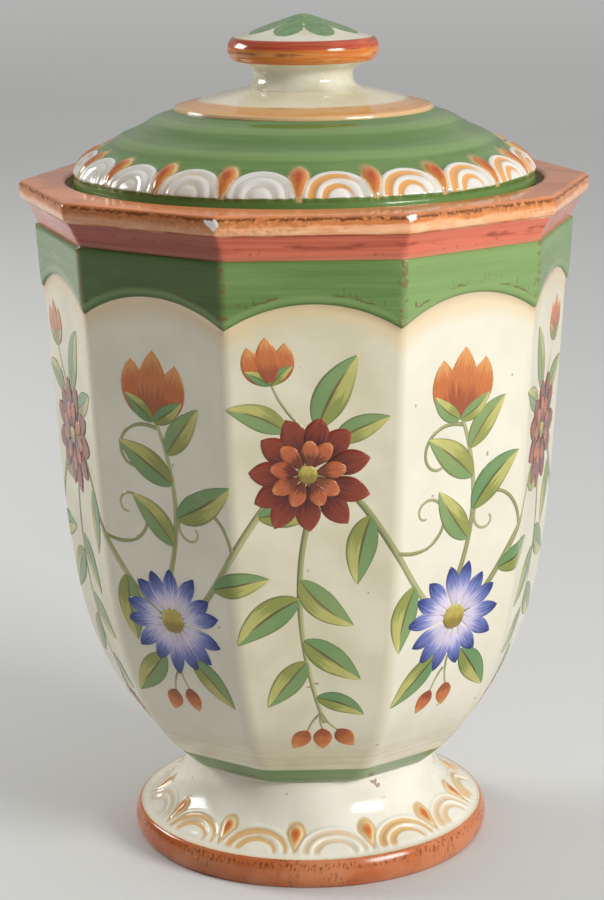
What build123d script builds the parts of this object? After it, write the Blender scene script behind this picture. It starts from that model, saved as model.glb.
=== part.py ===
from build123d import *
import math
import os

# A lidded earthenware canister: a ten-sided slip-cast jar luted to a round pedestal foot, and a
# domed lid with a luted knob, a locating flange and a rubber sealing ring.
# Millimetres, +Z up, origin on the table under the middle of the foot, one flat panel facing -Y.

# Jar: driving dimensions
SIDES = 10
RIM_HEIGHT = 216.5  # table to the flat top of the collar
FOOT_HEIGHT = 29.0  # table to the joint between foot and jar
COLLAR_RADIUS = 90.0  # axis to the corners of the collar's band
BAND_HEIGHT = 5.8  # upright band at the top of the collar
BAND_LIP = 1.2  # how far the band stands out past the cove
BAND_TOP_ROUND = 1.8
BAND_UNDER_ROUND = 0.9
COVE_HEIGHT = 8.0  # hollowed slope under the band
COVE_DEPTH = 4.3  # how far the cove leans out at the corners
BASE_RADIUS = 43.2  # axis to the jar's corners at the joint with the foot
BASE_CORNER = 9.0  # rounding of the jar's upright edges at the joint with the foot
BODY_CORNER = 5.0  # rounding of the jar's upright edges under the collar
COLLAR_CORNER = 2.2  # rounding of the collar's upright edges
CAVITY_ROUND = 4.0  # extra rounding of the upright edges inside
WALL = 6.0
FLOOR = 7.0
RIM_LAND = 10.6  # flat top of the collar, from the recess to the middle of a panel
RECESS_ROUND = 1.2  # rounding of the recess's top edge
SEAT_DEPTH = 4.5  # rim down to the ledge that carries the lid
LEDGE_WIDTH = 9.0  # ledge that carries the lid
THROAT_LENGTH = 12.0
SHOULDER_HEIGHT = 9.0  # slope from the wall in to the throat

# Jar: the belly swells quickly above the foot, then leans out gently
BELLY_SHARE = 0.75
BELLY_POWER = 6.7
BODY_SECTIONS = 9
SECTION_POWER = 1.6  # crowds the sections towards the foot
COVE_MID_SHARE = 0.5
COVE_MID_LEAN_SHARE = 0.4

# Foot
FOOT_RADIUS = 58.4  # outside of the rolled edge
FOOT_BAND = 9.2  # height of the rolled edge
FOOT_ROLL = 1.6  # bulge of the rolled edge
STAND_WIDTH = 6.0  # flat ring that stands on the table
NECK_RADIUS = 40.6  # foot's neck at the joint
NECK_WALL = 7.0

# Lid
LID_GAP = 2.4  # lid's edge to the recess wall
LID_EDGE = 3.3  # upright edge of the lid
LID_EDGE_ROUND = 1.0
LID_RISE = 32.3  # seat to the land under the knob
DOME_SHOULDER = 9.5  # radius that turns the upright edge into the dome
DOME_ANGLE = 55.0  # degrees of that turn
DOME_WIDTH = 32.2  # lid's edge in to the raised disc round the knob
CROWN_STEP = 1.0
CROWN_RISE = 5.1
LID_WALL = 6.0
UNDERSIDE_SHOULDER = 6.0
FLANGE_LENGTH = 12.0
FLANGE_WALL = 5.0
VENT_RADIUS = 8.0  # hole from the lid's underside into the hollow knob

# Knob
KNOB_BASE_RADIUS = 19.4
KNOB_WAIST_RADIUS = 15.4
KNOB_WAIST_HEIGHT = 4.1
KNOB_UNDER_ROUND = 3.0  # hollow between the waist and the underside of the rolled edge
KNOB_UNDER_ANGLE = 75.0
KNOB_RADIUS = 23.7  # outside of the rolled edge
KNOB_BAND_HEIGHT = 8.8  # land up to the rolled edge
KNOB_BAND = 6.8  # height of the rolled edge
KNOB_ROLL = 1.5  # bulge of the rolled edge
KNOB_HEIGHT = 22.7
KNOB_TIP_RADIUS = 4.0
KNOB_TIP_DROP = 0.8
KNOB_HOLLOW = 11.9  # depth of the hollow inside

# Sealing ring
SEAL_SPACE = 3.5  # flange to throat
SEAL_HEIGHT = 6.4
SEAL_BASE = 2.2  # thickness of the ring's back
SEAL_LIPS = 3
LIP_THICKNESS = 1.0
GROOVE_DEPTH = 1.5
GROOVE_DROP = 2.5  # seat down to the groove
RUNNING_GAP = 0.3

# Raised border under the collar, scalloped along its lower edge
BORDER_THICKNESS = 0.9
BORDER_DEPTH = 18.7  # collar down to the points at the corners
SCALLOP_RISE = 7.4  # points up to the middle of each scallop

OVERRUN = 1.0  # how far cutting tools reach past what they cut

# Places worked out from the sizes above
PANEL = math.pi / SIDES
COLLAR_FOOT = RIM_HEIGHT - BAND_HEIGHT - COVE_HEIGHT
COVE_TOP = RIM_HEIGHT - BAND_HEIGHT
COVE_RADIUS = COLLAR_RADIUS - BAND_LIP
BODY_RADIUS = COVE_RADIUS - COVE_DEPTH
RECESS_RADIUS = COLLAR_RADIUS * math.cos(PANEL) - RIM_LAND
THROAT_RADIUS = RECESS_RADIUS - LEDGE_WIDTH
SEAT = RIM_HEIGHT - SEAT_DEPTH
THROAT_FOOT = SEAT - THROAT_LENGTH
SHOULDER = THROAT_FOOT - SHOULDER_HEIGHT
LID_RADIUS = RECESS_RADIUS - LID_GAP
CROWN_RADIUS = LID_RADIUS - DOME_WIDTH
LAND = SEAT + LID_RISE
FLANGE_RADIUS = THROAT_RADIUS - SEAL_SPACE
FLANGE_FOOT = SEAT - FLANGE_LENGTH
GROOVE_RADIUS = FLANGE_RADIUS - GROOVE_DEPTH
GROOVE_TOP = SEAT - GROOVE_DROP
GROOVE_FOOT = GROOVE_TOP - SEAL_HEIGHT - 2 * RUNNING_GAP


def body_share(height):
    """Share of the way from the foot to the collar at a height above the table."""
    return (height - FOOT_HEIGHT) / (COLLAR_FOOT - FOOT_HEIGHT)


def body_radius(height):
    """Axis to the jar's corner at a height above the table."""
    share = body_share(height)
    swell = BELLY_SHARE * (1 - (1 - share) ** BELLY_POWER) + (1 - BELLY_SHARE) * share
    return BASE_RADIUS + (BODY_RADIUS - BASE_RADIUS) * swell


def rounded_polygon(radius, rounding, height):
    """A level ten-sided outline with rounded corners."""
    outline = RegularPolygon(radius, SIDES)
    return Pos(0, 0, height) * fillet(outline.vertices(), rounding)


def belly_loft(low, high, inset, extra_rounding):
    """The jar's form between two heights, drawn in by an inset, its edges sharper towards the top."""
    sections = []
    for i in range(BODY_SECTIONS):
        share = (i / (BODY_SECTIONS - 1)) ** SECTION_POWER
        height = low + (high - low) * share
        corner = BASE_CORNER + (BODY_CORNER - BASE_CORNER) * body_share(height)
        sections.append(rounded_polygon(body_radius(height) - inset, corner + extra_rounding, height))
    return loft(sections)


def turned(*lines):
    """A solid turned from a closed outline of (radius, height) lines, drawn on the XZ plane."""
    edges = [edge for line in lines for edge in line.edges()]
    return revolve(Plane.XZ * make_face(edges), Axis.Z)


def make_collar():
    """Hollowed slope and upright band that crown the jar."""
    mid_height = COLLAR_FOOT + COVE_HEIGHT * COVE_MID_SHARE
    mid_radius = BODY_RADIUS + COVE_DEPTH * COVE_MID_LEAN_SHARE
    cove = loft(
        [
            rounded_polygon(BODY_RADIUS, BODY_CORNER, COLLAR_FOOT),
            rounded_polygon(mid_radius, (BODY_CORNER + COLLAR_CORNER) / 2, mid_height),
            rounded_polygon(COVE_RADIUS, COLLAR_CORNER, COVE_TOP),
        ]
    )
    band = extrude(rounded_polygon(COLLAR_RADIUS, COLLAR_CORNER, COVE_TOP), BAND_HEIGHT)
    levels = band.edges().filter_by(GeomType.LINE).filter_by(Plane.XY).group_by(Axis.Z)
    arcs = band.edges().filter_by(GeomType.CIRCLE).group_by(Axis.Z)
    band = fillet(levels[-1] + arcs[-1], BAND_TOP_ROUND)
    levels = band.edges().filter_by(GeomType.LINE).filter_by(Plane.XY).group_by(Axis.Z)
    arcs = band.edges().filter_by(GeomType.CIRCLE).group_by(Axis.Z)
    band = fillet(levels[0] + arcs[0], BAND_UNDER_ROUND)
    return cove + band


def make_border():
    """Raised border round the top of the panels, cut in a scallop on each panel."""
    foot = COLLAR_FOOT - BORDER_DEPTH
    outset = BORDER_THICKNESS / math.cos(PANEL)
    border = belly_loft(foot, COLLAR_FOOT, -outset, 0)
    half = body_radius(foot) * math.sin(PANEL)
    below = foot - OVERRUN
    scallop = ThreePointArc((-half, foot), (0, foot + SCALLOP_RISE), (half, foot))
    sides = Polyline((half, foot), (half, below), (-half, below), (-half, foot))
    cutter = extrude(Plane.XZ * make_face([*scallop.edges(), *sides.edges()]), COLLAR_RADIUS)
    return border - [Rot(0, 0, i * 360 / SIDES) * cutter for i in range(SIDES)]


def make_jar():
    """Ten-sided jar with its collar, lid recess, ledge and throat."""
    jar = belly_loft(FOOT_HEIGHT, COLLAR_FOOT, 0, 0) + make_collar() + make_border()
    inset = WALL / math.cos(PANEL)
    jar -= belly_loft(FOOT_HEIGHT + FLOOR, SHOULDER, inset, CAVITY_ROUND)
    shoulder_radius = body_radius(SHOULDER) * math.cos(PANEL) - WALL
    bottom = (Align.CENTER, Align.CENTER, Align.MIN)
    jar -= Pos(0, 0, SHOULDER) * Cone(shoulder_radius, THROAT_RADIUS, SHOULDER_HEIGHT, align=bottom)
    jar -= Pos(0, 0, THROAT_FOOT) * Cylinder(THROAT_RADIUS, THROAT_LENGTH + OVERRUN, align=bottom)
    jar -= Pos(0, 0, SEAT) * Cylinder(RECESS_RADIUS, SEAT_DEPTH + OVERRUN, align=bottom)
    mouth = jar.edges().filter_by(GeomType.CIRCLE).group_by(Axis.Z)[-1]
    return fillet(mouth, RECESS_ROUND)


def make_foot():
    """Round trumpet foot with a rolled edge, hollow beneath."""
    edge = FOOT_RADIUS - FOOT_ROLL
    rolled = ThreePointArc((edge, 0), (FOOT_RADIUS, FOOT_BAND / 2), (edge, FOOT_BAND))
    neck = (NECK_RADIUS, FOOT_HEIGHT)
    flare = TangentArc(neck, (edge, FOOT_BAND), tangent=(0, -1))
    centre = NECK_RADIUS + flare.radius
    bend = flare.radius + NECK_WALL
    stand = edge - STAND_WIDTH
    hollow_foot = (stand, FOOT_HEIGHT - math.sqrt(bend**2 - (centre - stand) ** 2))
    inner_neck = (NECK_RADIUS - NECK_WALL, FOOT_HEIGHT)
    hollow = TangentArc(inner_neck, hollow_foot, tangent=(0, -1))
    walls = Polyline(hollow_foot, (stand, 0), (edge, 0))
    return turned(rolled, flare, Line(neck, inner_neck), hollow, walls)


def make_lid():
    """Domed lid with its crown disc, locating flange and seal groove."""
    crown_edge = LAND - CROWN_RISE
    dome_top = (CROWN_RADIUS, crown_edge - CROWN_STEP)
    shoulder_centre = (LID_RADIUS - DOME_SHOULDER, SEAT + LID_EDGE)
    shoulder = CenterArc(shoulder_centre, DOME_SHOULDER, 0, DOME_ANGLE)
    dome = TangentArc(shoulder @ 1, dome_top, tangent=shoulder % 1)
    centre = dome.arc_center
    inner_bend = dome.radius - LID_WALL
    inner_radius = FLANGE_RADIUS - FLANGE_WALL
    bend_across = inner_radius - UNDERSIDE_SHOULDER - centre.X
    bend_reach = inner_bend - UNDERSIDE_SHOULDER
    bend_up = math.sqrt(bend_reach**2 - bend_across**2)
    wall_top = (inner_radius, centre.Y + bend_up)
    bend = inner_bend / bend_reach
    arc_start = (centre.X + bend_across * bend, centre.Y + bend_up * bend)
    vent_foot = (VENT_RADIUS, centre.Y + math.sqrt(inner_bend**2 - (VENT_RADIUS - centre.X) ** 2))
    inner_shoulder = TangentArc(wall_top, arc_start, tangent=(0, 1))
    underside = TangentArc(arc_start, vent_foot, tangent=inner_shoulder % 1)
    seat_edge = (LID_RADIUS - LID_EDGE_ROUND, SEAT)
    rounded = CenterArc((LID_RADIUS - LID_EDGE_ROUND, SEAT + LID_EDGE_ROUND), LID_EDGE_ROUND, -90, 90)
    crown = [dome_top, (CROWN_RADIUS, crown_edge), (KNOB_BASE_RADIUS, LAND)]
    vent = [(VENT_RADIUS, LAND), vent_foot]
    groove = [(FLANGE_RADIUS, GROOVE_FOOT), (GROOVE_RADIUS, GROOVE_FOOT)]
    groove += [(GROOVE_RADIUS, GROOVE_TOP), (FLANGE_RADIUS, GROOVE_TOP)]
    flange = [wall_top, (inner_radius, FLANGE_FOOT), (FLANGE_RADIUS, FLANGE_FOOT)]
    return turned(
        rounded,
        Line(rounded @ 1, shoulder @ 0),
        shoulder,
        dome,
        Polyline(*crown, *vent),
        underside,
        inner_shoulder,
        Polyline(*flange, *groove, (FLANGE_RADIUS, SEAT), seat_edge),
    )


def make_knob():
    """Waisted knob with a rolled edge and a low pointed cap, hollow-cast."""
    top = LAND + KNOB_HEIGHT
    band_foot = LAND + KNOB_BAND_HEIGHT
    base = (KNOB_BASE_RADIUS, LAND)
    waist = (KNOB_WAIST_RADIUS, LAND + KNOB_WAIST_HEIGHT)
    under = (KNOB_RADIUS - KNOB_ROLL, band_foot)
    over = (KNOB_RADIUS - KNOB_ROLL, band_foot + KNOB_BAND)
    foot = TangentArc(waist, base, tangent=(0, -1))
    bend_centre = (KNOB_WAIST_RADIUS + KNOB_UNDER_ROUND, LAND + KNOB_WAIST_HEIGHT)
    bend = CenterArc(bend_centre, KNOB_UNDER_ROUND, 180, -KNOB_UNDER_ANGLE)
    rolled = ThreePointArc(under, (KNOB_RADIUS, band_foot + KNOB_BAND / 2), over)
    tip = (KNOB_TIP_RADIUS, top - KNOB_TIP_DROP)
    cap = TangentArc(tip, (0, top), tangent=(tip[0] - over[0], tip[1] - over[1]))
    bore_top = (VENT_RADIUS, LAND + KNOB_HOLLOW - VENT_RADIUS)
    hollow = CenterArc((0, bore_top[1]), VENT_RADIUS, 0, 90)
    bore = Polyline(bore_top, (VENT_RADIUS, LAND), base)
    outside = [foot, bend, Line(bend @ 1, under), rolled, Line(over, tip), cap]
    return turned(*outside, Line(cap @ 1, hollow @ 1), hollow, bore)


def make_seal():
    """Rubber ring in the flange's groove, with lips that wipe the throat."""
    back = GROOVE_RADIUS + RUNNING_GAP
    face = back + SEAL_BASE
    reach = THROAT_RADIUS - RUNNING_GAP
    foot = GROOVE_FOOT + RUNNING_GAP
    pitch = SEAL_HEIGHT / SEAL_LIPS
    outline = [(back, foot), (face, foot)]
    for i in range(SEAL_LIPS):
        lip_top = foot + pitch * (i + 1)
        outline += [(reach, lip_top - LIP_THICKNESS), (reach, lip_top), (face, lip_top)]
    outline.append((back, foot + SEAL_HEIGHT))
    return turned(Polyline(*outline, close=True))


def main():
    os.makedirs("parts", exist_ok=True)
    pieces = {
        "jar_body": make_jar(),
        "pedestal_foot": make_foot(),
        "lid_dome": make_lid(),
        "lid_knob": make_knob(),
        "lid_gasket": make_seal(),
    }
    for name, solid in pieces.items():
        export_step(solid, f"parts/{name}.step")


main()
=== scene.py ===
import math
import random
import bpy
import numpy as np
from mathutils import Matrix, Vector


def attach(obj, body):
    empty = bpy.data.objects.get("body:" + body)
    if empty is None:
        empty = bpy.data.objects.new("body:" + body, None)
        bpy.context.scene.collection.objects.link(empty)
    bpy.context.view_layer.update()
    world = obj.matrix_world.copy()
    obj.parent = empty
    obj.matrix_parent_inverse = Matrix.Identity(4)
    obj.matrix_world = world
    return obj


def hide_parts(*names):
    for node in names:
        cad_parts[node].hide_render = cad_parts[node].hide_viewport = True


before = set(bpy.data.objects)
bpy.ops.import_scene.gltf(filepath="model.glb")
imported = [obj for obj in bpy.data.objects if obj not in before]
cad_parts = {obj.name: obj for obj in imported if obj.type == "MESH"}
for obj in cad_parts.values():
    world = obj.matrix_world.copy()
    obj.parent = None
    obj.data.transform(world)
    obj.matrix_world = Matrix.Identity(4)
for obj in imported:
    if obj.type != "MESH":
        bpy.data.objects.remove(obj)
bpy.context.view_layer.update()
MM = 0.001

# The jar, in millimetres as in the CAD model
SIDES = 10
PANEL = math.pi / SIDES
FRONT = -math.pi / 2
FOOT_HEIGHT = 29.0
COLLAR_FOOT = 202.7
COVE_TOP = 210.7
RIM = 216.5
BASE_RADIUS = 43.2
BODY_RADIUS = 84.5
COVE_RADIUS = 88.8
COLLAR_RADIUS = 90.0
BASE_CORNER = 9.0
BODY_CORNER = 5.0
COLLAR_CORNER = 2.2
BAND_INSET = 1.1
BAND_RISE = 2.5
RIM_ROUND = 1.8
LAND_CROWN = 0.4
SEAT = 212.0
RECESS_RADIUS = 74.995
RECESS_ROUND = 1.2
LEDGE_MIDDLE = 71.0
LEDGE_ROUND = 0.15
THROAT_RADIUS = 65.995
THROAT_ROUND = 0.3
THROAT_FOOT = 200.0
SHOULDER = 191.0
WALL = 6.0
CAVITY_ROUND = 4.0
FLOOR = 36.0
FLOOR_CORNER = 13.0
MIDDLE_RING = (1.5, 0.4)

# The raised border under the collar: its scallops, and how its edge rolls up and out
BORDER = 0.9
SCALLOP_POINT = 182.4
SCALLOP_RISE = 7.6
STRAIGHT_TOP = 150.0
ROLL_TOP = 3.2
BORDER_ROLL = ((0.12, 0.26), (0.45, 0.48), (1.0, 0.67), (1.9, 0.82), (ROLL_TOP, BORDER))

# Columns of the jar's mesh on each flat and each corner, and the painted light and shade of each panel
FLAT_COLUMNS = 31
CORNER_COLUMNS = 9
# Painted light above 0.5, painted shade below it
PANEL_LIGHT_AND_SHADE = (0.5, 0.95, 0.75, 0.5, 0.35, 0.6, 0.45, 0.6, 0.4, 0.05)

# Chips on the rim: corner, foot, half width, height and lean
CHIPS = ((-1, 211.9, 2.2, 3.5, 0.35), (1, 214.2, 1.7, 1.9, -0.3))
CHIP_LEVELS = (204.0, 218.0)
CHIP_TAPER = 1.5
CHIP_DEPTH = 0.4

# A distance that no chip or arch reaches
FAR = 9.0

# The foot
FOOT_EDGE = 56.8
FOOT_EDGE_TOP = 9.2
FOOT_BULGE = 1.6
FOOT_NECK = 40.6
FOOT_WALL = 7.0
HOLLOW_TURN = 248.4
STAND = ((50.8, 0.4), (50.9, 0.1), (51.2, 0.0))
FOOT_LOBES = 13
FOOT_LOBE_COLUMNS = 50

# The lid and its knob
FLANGE_BORE = 57.5
FLANGE_RADIUS = 62.5
FLANGE_FOOT = 200.0
GROOVE_RADIUS = 61.0
GROOVE_FOOT = 202.5
GROOVE_TOP = 209.5
NICK = 0.05
LID_RADIUS = 72.6
LID_ROUND = 1.0
LID_WALL = 6.0
SEAT_MIDDLE = 66.0
UNDER_START = 82
UNDER_TURN = 60.6
UNDER_FOOT = 219.65
BRIM_TOP = 215.3
BRIM_BEND = 9.5
DOME_SLOPE = 55
DOME_TOP = (40.4, 238.2)
CROWN_STEP = ((0.22, 0.0), (0.02, 0.25), (0.0, 0.55), (-0.15, 0.85))
CROWN_EDGE = (39.9, 239.3)
LID_LOBES = 20
LID_LOBE_COLUMNS = 32
RING_START = 18.0
RING_PITCH = 2 * math.pi / 13.0
RING_HEIGHT = 0.26
LAND = 244.3
VENT = 8.0
VENT_FOOT = 240.5
VENT_ROUND = 0.2
BORE_TOP = 248.2
KNOB_BASE = 19.4
WAIST = 15.4
WAIST_HEIGHT = 248.4
WAIST_BEND = 3.0
KNOB_EDGE = 22.2
KNOB_EDGE_FOOT = 253.1
KNOB_EDGE_TOP = 259.9
KNOB_BULGE = 1.5
KNOB_TIP = ((4.0, 266.2), (2.6, 266.64), (1.3, 266.9), (0.3, 266.99))
KNOB_LEAVES = 8
LEAF_COLUMNS = 24


def body_share(height):
    """Share of the way from the foot to the collar at a height above the table."""
    return np.clip((height - FOOT_HEIGHT) / (COLLAR_FOOT - FOOT_HEIGHT), 0.0, 1.0)


def body_radius(height):
    """Axis to the jar's corner at a height above the table."""
    share = body_share(height)
    swell = 0.75 * (1 - (1 - share) ** 6.7) + 0.25 * share
    return BASE_RADIUS + (BODY_RADIUS - BASE_RADIUS) * swell


def body_apothem(height):
    """Axis to the middle of a panel at a height above the table."""
    return body_radius(height) * math.cos(PANEL)


def body_corner(height):
    """Rounding of the jar's upright edges at a height above the table."""
    return BASE_CORNER + (BODY_CORNER - BASE_CORNER) * body_share(height)


def scallop_height(across):
    """Lower edge of the raised border at a distance from the middle of a panel."""
    half = body_radius(SCALLOP_POINT) * math.sin(PANEL)
    bend = (half**2 + SCALLOP_RISE**2) / (2 * SCALLOP_RISE)
    reach = np.minimum(np.abs(across), half)
    return SCALLOP_POINT + SCALLOP_RISE - bend + np.sqrt(bend**2 - reach**2)


# Mesh building


def smooth_step(value, low, high):
    share = np.clip((value - low) / (high - low), 0.0, 1.0)
    return share * share * (3 - 2 * share)


def new_piece(name, points, faces, marks, material, body, nodes=(), flat=()):
    """A smooth mesh in millimetres, with named per-point values and some flat faces, on a body."""
    mesh = bpy.data.meshes.new(name)
    mesh.from_pydata((np.asarray(points) * MM).tolist(), [], faces)
    mesh.polygons.foreach_set("use_smooth", [True] * len(mesh.polygons))
    for face in flat:
        mesh.polygons[face].use_smooth = False
    for mark, values in marks.items():
        values = np.asarray(values, dtype=np.float32)
        kind = "FLOAT_VECTOR" if values.ndim == 2 else "FLOAT"
        field = "vector" if values.ndim == 2 else "value"
        mesh.attributes.new(mark, kind, "POINT").data.foreach_set(field, values.ravel())
    mesh.materials.append(material)
    mesh.update()
    piece = bpy.data.objects.new(name, mesh)
    bpy.context.collection.objects.link(piece)
    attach(piece, body)
    if nodes:
        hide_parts(*nodes)


def ring_faces(rows, columns, closed):
    """Quads of a grid that closes round its columns, and round its rows where asked."""
    faces = []
    for row in range(rows if closed else rows - 1):
        low = row * columns
        high = (row + 1) % rows * columns
        for column in range(columns):
            after = (column + 1) % columns
            faces.append((low + column, low + after, high + after, high + column))
    return faces


def arc_points(centre, radius, start, end, steps):
    """Points of an arc in (radius, height), its angles in degrees."""
    angles = np.radians(np.linspace(start, end, steps))
    return [(centre[0] + radius * math.cos(a), centre[1] + radius * math.sin(a)) for a in angles]


def line_points(start, end, steps):
    """Points of a straight line in (radius, height), without its ends."""
    shares = np.linspace(0, 1, steps + 2)[1:-1]
    return [(start[0] + (end[0] - start[0]) * s, start[1] + (end[1] - start[1]) * s) for s in shares]


def tangent_arc(start, facing, end):
    """Centre, radius and end angle of the arc that leaves a start facing an angle and meets an end."""
    normal = np.array([math.cos(math.radians(facing)), math.sin(math.radians(facing))])
    chord = np.subtract(end, start)
    radius = -(chord @ chord) / (2 * chord @ normal)
    centre = np.subtract(start, radius * normal)
    out = np.subtract(end, centre)
    return centre, radius, math.degrees(math.atan2(out[1], out[0])) % 360


def rolled_edge(radius, low, high, bulge, steps):
    """Arc of a rolled edge that bulges between two heights."""
    half = (high - low) / 2
    bend = (half**2 + bulge**2) / (2 * bulge)
    turn = math.degrees(math.asin(half / bend))
    return arc_points((radius + bulge - bend, (low + high) / 2), bend, -turn, turn, steps)


def path_lengths(profile, start):
    """Length along a profile, zero at one of its points."""
    steps = np.hypot(*np.diff(np.asarray(profile), axis=0).T)
    lengths = np.concatenate([[0.0], np.cumsum(steps)])
    return lengths - lengths[start]


def turned_grid(profile, columns, relief):
    """Points of a profile turned about the axis, raised along its normals by a relief."""
    profile = np.asarray(profile)
    along = np.roll(profile, -1, axis=0) - np.roll(profile, 1, axis=0)
    along /= np.maximum(np.linalg.norm(along, axis=1, keepdims=True), 1e-9)
    angles = np.arange(columns) / columns * 2 * math.pi + FRONT
    relief = relief + np.zeros((len(profile), columns))
    radius = profile[:, :1] + along[:, 1:] * relief
    height = profile[:, 1:] - along[:, :1] * relief
    points = np.stack([radius * np.cos(angles), radius * np.sin(angles), height], axis=-1)
    return points.reshape(-1, 3)


# Materials

GLOSS = 0.38
BUMP_STRENGTH = 0.22
GLAZE_BUMP = 0.0002
FINE_BUMP = 0.0001

LEAF_GREEN = (0.145, 0.25, 0.068)
DEEP_GREEN = (0.095, 0.18, 0.04)
PALE_GREEN = (0.25, 0.36, 0.13)
PAINTED_SHADE_GREEN = (0.02, 0.048, 0.006)
PAINTED_LIGHT_GREEN = (0.31, 0.45, 0.18)
CREAM = (0.72, 0.67, 0.51)
SHADED_CREAM = (0.61, 0.56, 0.39)
IVORY = (0.78, 0.75, 0.66)
WHITE = (0.84, 0.80, 0.69)
PEACH = (0.80, 0.29, 0.12)
ROSE = (0.64, 0.155, 0.085)
RUST = (0.46, 0.11, 0.03)
BROWN = (0.12, 0.035, 0.012)
LINING = ((0.60, 0.56, 0.45), (0.68, 0.64, 0.53))


class Signal:
    """An output of a new node, with the sums, masks and colours that can follow from it."""

    def __init__(self, tree, kind, inputs, output=0, **settings):
        self.tree = tree
        node = tree.nodes.new(kind)
        for name, value in settings.items():
            setattr(node, name, value)
        for name, value in inputs.items():
            socket = node.inputs[name]
            if isinstance(value, Signal):
                tree.links.new(value.socket, socket)
            elif socket.type == "RGBA":
                socket.default_value = (*value, 1.0)
            else:
                socket.default_value = value
        self.socket = node.outputs[output]

    def sum(self, operation, *others):
        inputs = dict(enumerate((self, *others)))
        return Signal(self.tree, "ShaderNodeMath", inputs, operation=operation)

    def __add__(self, other):
        return self.sum("ADD", other)

    def __sub__(self, other):
        return self.sum("SUBTRACT", other)

    def __mul__(self, other):
        return self.sum("MULTIPLY", other)

    def either(self, other):
        """A mask where this one or another holds."""
        return self.sum("MAXIMUM", other)

    def wobble(self, noise, reach):
        """The same value moved up and down by a noise."""
        return (noise - 0.5).sum("MULTIPLY_ADD", reach, self)

    def rise(self, low, high, most=1.0):
        """A mask that goes smoothly from none at one value to its most at another."""
        limits = {"Value": self, "From Min": low, "From Max": high, "To Max": most}
        return Signal(self.tree, "ShaderNodeMapRange", limits, "Result", interpolation_type="SMOOTHSTEP")

    def band(self, low, high, soft):
        """A mask that holds between two values, with soft ends."""
        return self.rise(low - soft, low + soft) * self.rise(high + soft, high - soft)

    def mix(self, under, over):
        """One colour where this mask is none and another where it is full."""
        return Signal(self.tree, "ShaderNodeMix", {0: self, 6: under, 7: over}, 2, data_type="RGBA")

    def blotch(self, under, over, low=0.3, high=0.7):
        """Two colours that this noise blends."""
        return self.rise(low, high).mix(under, over)

    def coat(self, mask, paint):
        """This colour with a coat of paint on it where a mask holds."""
        return mask.mix(self, paint)


class Glaze:
    """One procedural material in the making."""

    def __init__(self, name):
        self.material = bpy.data.materials.new(name)
        self.material.use_nodes = True
        self.tree = self.material.node_tree
        self.tree.nodes.clear()
        self.place = Signal(self.tree, "ShaderNodeTexCoord", {}, "Object")

    def marks(self, *names):
        """Per-point numbers of the mesh."""
        kind = "ShaderNodeAttribute"
        return [Signal(self.tree, kind, {}, "Fac", attribute_name=name) for name in names]

    def parts(self, name):
        """The three parts of a per-point vector of the mesh."""
        whole = Signal(self.tree, "ShaderNodeAttribute", {}, "Vector", attribute_name=name)
        return [Signal(self.tree, "ShaderNodeSeparateXYZ", {0: whole}, axis) for axis in "XYZ"]

    def noise(self, scale, detail=3.0, upright=None, where=None):
        """Noise of one scale, or of another scale along the upright axis."""
        stretch = {0: where or self.place, 1: (scale, scale, upright or scale)}
        spread = Signal(self.tree, "ShaderNodeVectorMath", stretch, operation="MULTIPLY")
        inputs = {"Vector": spread, "Scale": 1.0, "Detail": detail}
        return Signal(self.tree, "ShaderNodeTexNoise", inputs, "Fac")

    def finish(self, colour, roughness, bump, depth):
        """Joins colour, roughness and bump into a surface."""
        ripple = {"Strength": BUMP_STRENGTH, "Distance": depth, "Height": bump}
        normal = Signal(self.tree, "ShaderNodeBump", ripple, "Normal")
        look = {"Base Color": colour, "Roughness": roughness, "Specular IOR Level": GLOSS, "Normal": normal}
        surface = Signal(self.tree, "ShaderNodeBsdfPrincipled", look, "BSDF")
        out = self.tree.nodes.new("ShaderNodeOutputMaterial")
        self.tree.links.new(surface.socket, out.inputs["Surface"])
        return self.material

    def fired(self, colour, roughness, bump=0.0):
        """A surface with the uneven gloss and faint ripple of fired glaze."""
        shine = self.noise(45.0).rise(0.2, 0.8, 0.16) + roughness
        return self.finish(colour, shine, self.noise(75.0, 1.0) + bump, GLAZE_BUMP)


def distance(across, up):
    """Length of the line to a point across and up."""
    return (across * across + up * up).sum("SQRT")


def streaked_green(glaze):
    """Brushed green with soft level streaks, as thin glaze leaves them."""
    streaks = glaze.noise(14.0, 3.0, 420.0)
    fine = glaze.noise(60.0, 2.0, 1800.0)
    patches = glaze.noise(30.0, 2.0, 90.0)
    green = (fine * 0.35 + streaks * 0.65).blotch(DEEP_GREEN, LEAF_GREEN)
    return green.coat(patches.rise(0.48, 0.8, 0.35), PALE_GREEN)


def panel_cream(glaze, height, valance, edge, painted_panel_sheen, mottle, level):
    """Mottled cream, tanned under the valance, a little darker near the foot and the corners, whitened by
    painted sheen.
    """
    # Painted sheen: the cream is whitened towards ivory on the panels with the most painted light and shade
    cream = mottle.blotch(SHADED_CREAM, CREAM).coat(painted_panel_sheen * 0.5, IVORY)
    halo = valance.wobble(mottle, 9.0).rise(-9.5, -0.2)
    cream = cream.coat(halo * 0.55, (0.70, 0.47, 0.20))
    low = height.rise(58.0, 37.0) * level.rise(0.42, 0.6)
    cream = cream.coat(low * 0.28, (0.5, 0.41, 0.25))
    corner = edge.rise(2.4, 0.4) * mottle.rise(0.35, 0.62)
    cream = cream.coat(corner * 0.22, (0.48, 0.40, 0.25))
    specks = glaze.noise(330.0, 1.0).rise(0.765, 0.79)
    return cream.coat(specks * 0.6, (0.22, 0.12, 0.05))


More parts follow.
